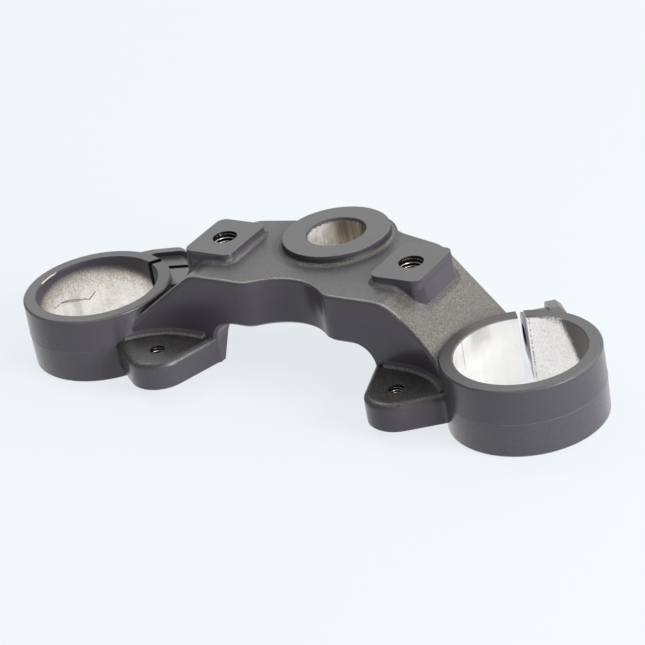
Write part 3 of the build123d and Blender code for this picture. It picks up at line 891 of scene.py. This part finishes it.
# %% Pieces from a tree
def grow(name, points, tree, values, edges=(), **attributes):
    """Run a geometry tree on some points and keep the result as a plain mesh piece."""
    mesh = bpy.data.meshes.new(name)
    mesh.from_pydata([Vector(p) * MM for p in points], list(edges), [])
    for key, rows in attributes.items():
        kind = "FLOAT" if np.ndim(rows) == 1 else "FLOAT_VECTOR"
        layer = mesh.attributes.new(key, kind, "POINT")
        layer.data.foreach_set("value" if kind == "FLOAT" else "vector", np.ravel(rows))
    seed = linked(name + "_seed", mesh)
    modifier = seed.modifiers.new("grow", "NODES")
    modifier.node_group = tree
    sockets = {s.name: s.identifier for s in tree.interface.items_tree if s.in_out == "INPUT"}
    for key, value in values.items():
        modifier[sockets[key]] = value
    grown = bpy.data.meshes.new_from_object(seed.evaluated_get(bpy.context.evaluated_depsgraph_get()))
    seed.modifiers.remove(modifier)
    bpy.data.objects.remove(seed)
    piece = linked(name, grown)
    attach(piece, "root")
    print(name, "triangles:", sum(len(p.vertices) - 2 for p in grown.polygons))
    return piece


print("piece helper ready")

# %% Threads in the holes
INTO, LEAD = Vector((0, 0, -1)), 0.9


def tapped(radius, minor, pitch, depth):
    """The thread tree's inputs for one size of hole."""
    sizes = {"Radius": radius, "Ridge": radius - minor, "Pitch": pitch, "Length": depth - 2 * LEAD}
    return {name: size * MM for name, size in sizes.items()}


m10 = tapped(pad_hole_radius, minor=4.2, pitch=1.5, depth=pad_hole_depth)
m6 = tapped(ear_hole_radius, minor=2.48, pitch=1.0, depth=ear_top - ear_bottom)
m8 = tapped(pinch_hole_radius, minor=3.35, pitch=1.25, depth=pinch_hole_end - slot_half)
pad_mouths = [(side * pad_x, pad_y, boss_top - LEAD) for side in (-1, 1)]
ear_mouths = [(side * ear_x, ear_y, ear_top - LEAD) for side in (-1, 1)]
lug = slot_start + slot_way * pinch_reach - slot_side * (slot_half + LEAD)
pinch_mouths = [(side * lug.x, lug.y, pinch_z) for side in (-1, 1)]
pinch_ways = [(-side * slot_side.x, -slot_side.y, 0) for side in (-1, 1)]
pad_threads = grow("pad_threads", pad_mouths, thread_tree, m10, axis=[INTO] * 2)
ear_threads = grow("ear_threads", ear_mouths, thread_tree, m6, axis=[INTO] * 2)
pinch_threads = grow("pinch_threads", pinch_mouths, thread_tree, m8, axis=pinch_ways)

# %% [markdown]
# ## Parting line
# The two halves of the mould met at mid height of the clamps and left a hair of raised metal round
# their outer walls. A painted line would not catch the light, and the line follows an arc, so a
# second tree sweeps a tiny round bead along an arc and sets one on each clamp. The bead fades out
# where the arms and lugs join.

# %% Bead tree
# The bead's pale grey is a painted highlight along the parting line.
BEAD_HIGHLIGHT_GREY = (0.13, 0.12, 0.13, 1)
ARC_STEPS, BEAD_STEPS, BEAD_FADE = 120, 8, 0.08
bead_highlight_coat, tree, shader = finish("highlit_parting_bead")
dress(tree, shader, {"Base Color": BEAD_HIGHLIGHT_GREY, "Roughness": 0.4})
bead_tree, given, result = tree_with("parting_bead", {"Radius": 0.03, "Bead": 0.0001, "Sweep": 4.0})
tree = bead_tree
arc = {"Resolution": ARC_STEPS, "Radius": given["Radius"], "Sweep Angle": given["Sweep"]}
arc = step(tree, "GeometryNodeCurveArc", arc)["Curve"]
ring = {"Resolution": BEAD_STEPS, "Radius": given["Bead"]}
ring = step(tree, "GeometryNodeCurvePrimitiveCircle", ring)["Curve"]
bead = sweep(tree, arc, ring, taper(tree, BEAD_FADE))
start = carried(tree, "start", "FLOAT")
about = step(tree, "ShaderNodeCombineXYZ", {"Z": start})["Vector"]
spun = step(tree, "FunctionNodeEulerToRotation", {"Euler": about})["Rotation"]
clamps = {"Points": given["Geometry"], "Instance": bead, "Rotation": spun}
clamps = step(tree, "GeometryNodeInstanceOnPoints", clamps)["Instances"]
close_tree(tree, clamps, bead_highlight_coat, result)
print("bead tree:", len(bead_tree.nodes), "nodes")

# %% Parting beads
FREE_WALL, BEAD_RADIUS = math.radians(222), 0.05
LEFT_ARC, RIGHT_ARC = math.radians(88), math.radians(230)
parting_beads = grow(
    "parting_beads",
    [(-fork_x, fork_y, parting_z), (fork_x, fork_y, parting_z)],
    bead_tree,
    {"Radius": parting_radius * MM, "Bead": BEAD_RADIUS * MM, "Sweep": FREE_WALL},
    start=[LEFT_ARC, RIGHT_ARC],
)

# %% [markdown]
# ## Scratch in the left bore
# A fork tube pushed in at an angle has dragged a burr across the left bore, in two strands. A dark
# painted line would lie flat. Each strand is a wandering line on a cylinder, so a few points are
# given by bearing and height, and a third tree sweeps a thin strip through them and shakes it up
# and down.

# %% Torn metal
TORN_DARK = (0.22, 0.165, 0.12, 1)
TORN_LIGHT = (0.46, 0.39, 0.31, 1)
TORN_ROUGH = (0.35, 0.55)
scratch_metal, tree, shader = finish("torn_bore_metal")
torn = noise(tree, millimetres(tree), scale=1.4, roughness=0.7)
colour, rough = blend(tree, torn, TORN_DARK, TORN_LIGHT), between(tree, torn, *TORN_ROUGH)
dress(tree, shader, {"Base Color": colour, "Metallic": 1.0, "Roughness": rough})
print("finish:", scratch_metal.name)

# %% Scratch tree
MIDDLE, SWELL, LEAST_WIDTH, SCRATCH_FADE = 0.5, 1.2, 0.2, 0.03
scratch_tree, given, result = tree_with(
    "dragged_burr", {"Width": 0.0005, "Height": 0.00005, "Shake": 0.0012, "Grit": 600.0}
)
tree = scratch_tree
line = step(tree, "GeometryNodeMeshToCurve", {"Mesh": given["Geometry"]})["Curve"]
grit = {"Scale": given["Grit"], "Detail": 4.0, "Roughness": 0.7}
jitter = step(tree, "ShaderNodeTexNoise", grit)["Fac"]
lift = times(tree, calc(tree, "SUBTRACT", jitter, MIDDLE), given["Shake"])
push = step(tree, "ShaderNodeCombineXYZ", {"Z": lift})["Vector"]
shaken = {"Geometry": line, "Offset": push}
shaken = step(tree, "GeometryNodeSetPosition", shaken)["Geometry"]
shaken = step(tree, "GeometryNodeSetCurveNormal", {"Curve": shaken}, mode="Z_UP")["Curve"]
strip = {"Width": given["Height"], "Height": given["Width"]}
strip = step(tree, "GeometryNodeCurvePrimitiveQuadrilateral", strip)
swell = calc(tree, "MULTIPLY_ADD", jitter, SWELL, LEAST_WIDTH)
swell = times(tree, swell, taper(tree, SCRATCH_FADE))
burr = sweep(tree, shaken, strip["Curve"], swell)
close_tree(tree, burr, scratch_metal, result)
print("scratch tree:", len(scratch_tree.nodes), "nodes")

# %% Bore scratch
BURR_WIDTH, BURR_HEIGHT, BURR_SHAKE = 0.55, 0.08, 1.6
# Bearings in degrees, heights in millimetres, and how many points.
strands = (
    ([133, 141, 155, 171, 183], [-10.4, -13.7, -12.3, -10.1, -10.2], 140),
    ([150, 160, 172], [-12.4, -10.9, -9.9], 60),
)
scratch_points, scratch_edges = [], []
for bearings, heights, count in strands:
    first = len(scratch_points)
    for bearing in np.linspace(bearings[0], bearings[-1], count):
        way = math.radians(bearing)
        out, back = fork_radius * math.cos(way), fork_radius * math.sin(way)
        scratch_points.append((out - fork_x, back + fork_y, np.interp(bearing, bearings, heights)))
    scratch_edges += [(i, i + 1) for i in range(first, len(scratch_points) - 1)]
bore_scratch = grow(
    "bore_scratch",
    scratch_points,
    scratch_tree,
    {"Width": BURR_WIDTH * MM, "Height": BURR_HEIGHT * MM, "Shake": BURR_SHAKE * MM},
    edges=scratch_edges,
)

# %% [markdown]
# ## Studio
# The part stands on a pale floor in soft light. The floor glows a little for the camera and for
# reflections, so it keeps the pale tone of the photograph without more light on the part, and still
# takes a soft shadow. Three boxes stand where the clamp tops, right arm and ear rims mirror them.

# %% Floor
PAPER = (0.80, 0.82, 0.84, 1)
PAPER_GLOW, MIRRORED_GLOW, GLOW_SHARE = (0.865, 0.905, 0.935, 1), (1, 1, 1, 1), 0.85
FLOOR_HALF, FLOOR_GAP = 4.0, 0.0001
floor_z = clamp_bottom * MM - FLOOR_GAP
floor_mesh = bpy.data.meshes.new("floor")
sides = ((-1, -1), (1, -1), (1, 1), (-1, 1))
floor_mesh.from_pydata([(a * FLOOR_HALF, b * FLOOR_HALF, floor_z) for a, b in sides], [], [(0, 1, 2, 3)])
floor = linked("floor", floor_mesh)
floor_paper, tree, shader = finish("floor_paper")
dress(tree, shader, {"Base Color": PAPER, "Roughness": 0.9, "Specular IOR Level": 0.1})
path = add(tree, "ShaderNodeLightPath").outputs
mirrored = most(tree, path["Is Glossy Ray"], path["Is Transmission Ray"])
glow = {"Color": blend(tree, mirrored, PAPER_GLOW, MIRRORED_GLOW)}
glow = step(tree, "ShaderNodeEmission", glow)["Emission"]
seen = calc(tree, "MULTIPLY_ADD", path["Is Camera Ray"], GLOW_SHARE, mirrored, clamp=True)
paper = step(tree, "ShaderNodeMixShader", {0: seen, 1: shader.outputs["BSDF"], 2: glow})["Shader"]
dress(tree, tree.nodes["Material Output"], {"Surface": paper})
floor_mesh.materials.append(floor_paper)
print("floor height, mm:", round(floor_z / MM, 1))


# %% Lights
def softbox(name, toward, distance, size, watts, colour):
    """A square area light that faces the part."""
    at = Vector(toward) * distance
    data = bpy.data.lights.new(name, "AREA")
    data.energy, data.size, data.color = watts, size, colour
    lamp = linked(name, data)
    lamp.location = at
    lamp.rotation_mode = "QUATERNION"
    lamp.rotation_quaternion = (-at).to_track_quat("-Z", "Y")


TOPS_MIRROR, SLOPE_MIRROR, RIM_MIRROR = (-0.53, 0.71, 0.47), (0.30, 0.71, 0.64), (-0.50, 0.15, 0.85)
softbox("tops_box", TOPS_MIRROR, distance=1.7, size=1.4, watts=4.6, colour=(1.0, 0.99, 0.97))
softbox("slope_box", SLOPE_MIRROR, distance=1.6, size=1.0, watts=7.3, colour=(1.0, 0.965, 0.90))
softbox("top_box", (0.15, 0.1, 1.5), distance=1.0, size=1.2, watts=1.2, colour=(1.0, 0.99, 0.97))
softbox("right_box", (1.5, -0.2, 0.5), distance=1.0, size=0.9, watts=48.0, colour=(0.97, 0.98, 1.0))
softbox("rim_box", RIM_MIRROR, distance=1.6, size=0.4, watts=5.0, colour=(1.0, 0.985, 0.96))
world = bpy.data.worlds.new("studio")
bpy.context.scene.world = world
world.use_nodes = True
sky = world.node_tree
dress(sky, sky.nodes["Background"], {"Color": (0.93, 0.95, 1.0, 1), "Strength": 0.45})
bpy.context.scene.view_settings.view_transform = "Standard"
